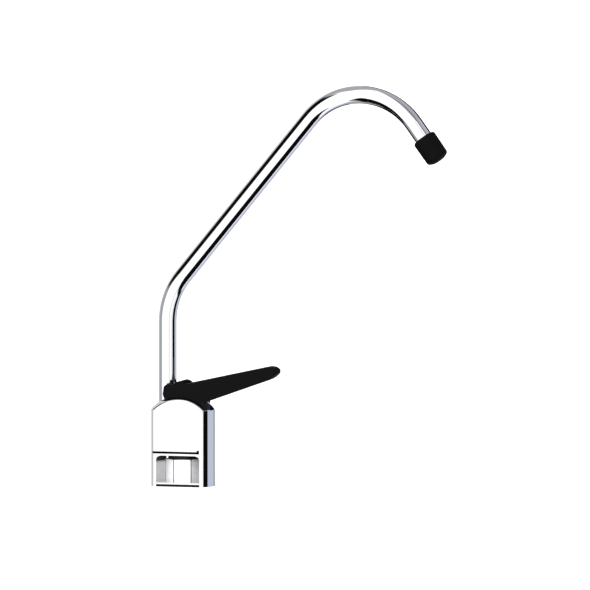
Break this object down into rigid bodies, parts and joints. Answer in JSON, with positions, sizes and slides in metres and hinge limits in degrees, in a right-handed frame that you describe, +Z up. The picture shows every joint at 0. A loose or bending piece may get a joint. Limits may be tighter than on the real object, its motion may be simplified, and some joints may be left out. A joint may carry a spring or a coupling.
{
  "type": "drinking water filter tap",
  "caption": "Self-closing drinking water filter tap with a chromed, flat-sided domed body, a black press lever and a swivelling gooseneck spout that ends in a black tip.",
  "frame": {"origin": "centre of the mouth of the threaded inlet, on the body's vertical axis, in the plane of the deck that the gasket stands on", "axes": "+Z up along the body's axis; +X the way the lever's handle and the spout point at rest; +Y completes a right-handed frame and is square to the body's two flats"},
  "size_m": [0.1608, 0.02, 0.2126],
  "materials": {
    "plated_casting": "bright polished chrome plate on a brass casting",
    "plated_hex": "bright plated brass, turned and milled",
    "plated_tube": "bright polished chrome plate on a drawn tube",
    "polished_steel": "polished stainless steel",
    "spring_steel": "drawn spring steel wire",
    "plain_brass": "machined brass, unplated",
    "black_plastic": "satin black moulded plastic with a slight sheen",
    "black_tip": "satin black soft plastic",
    "gasket_rubber": "matt black rubber",
    "seal_rubber": "smooth black rubber",
    "fibre_washer": "red vulcanised fibre",
    "white_acetal": "plain white acetal"
  },
  "bodies": {
    "base": {"tap_body": "plated_casting", "inlet_fitting": "plated_hex", "base_gasket": "gasket_rubber", "gasket_plate": "plated_hex", "fitting_washer": "seal_rubber", "inlet_washer": "fibre_washer", "valve_seat": "plain_brass", "return_spring": "spring_steel", "spring_washer": "plain_brass", "stem_orings": "seal_rubber", "stem_guide": "white_acetal", "spout_thrust_washer": "white_acetal"},
    "stem": {"stem": "polished_steel", "seat_washer": "seal_rubber", "washer_screw": "plain_brass"},
    "lever": {"lever": "black_plastic", "lever_pin": "polished_steel"},
    "spout": {"spout_tube": "plated_tube", "spout_ferrule": "plain_brass", "spout_orings": "seal_rubber", "spout_snap_ring": "spring_steel", "spout_tip": "black_tip"}
  },
  "joints": [
    {"name": "stem_lift", "type": "slide", "parent": "base", "child": "stem", "axis": [0, 0, 1], "range_m": [0, 0.003], "stiffness_N_per_m": 300, "springref_m": -0.003, "deforming": ["return_spring"]},
    {"name": "lever_press", "type": "hinge", "parent": "stem", "child": "lever", "pos_m": [0, 0, 0.0515], "axis": [0, 1, 0], "range_deg": [0, 9]},
    {"name": "spout_swivel", "type": "hinge", "parent": "base", "child": "spout", "pos_m": [-0.0084, 0, 0.036], "axis": [0, 0, 1], "continuous": true}
  ],
  "couplings": [
    {"joint": "lever_press", "follows": "stem_lift", "rad_per_m": 52.35}
  ]
}
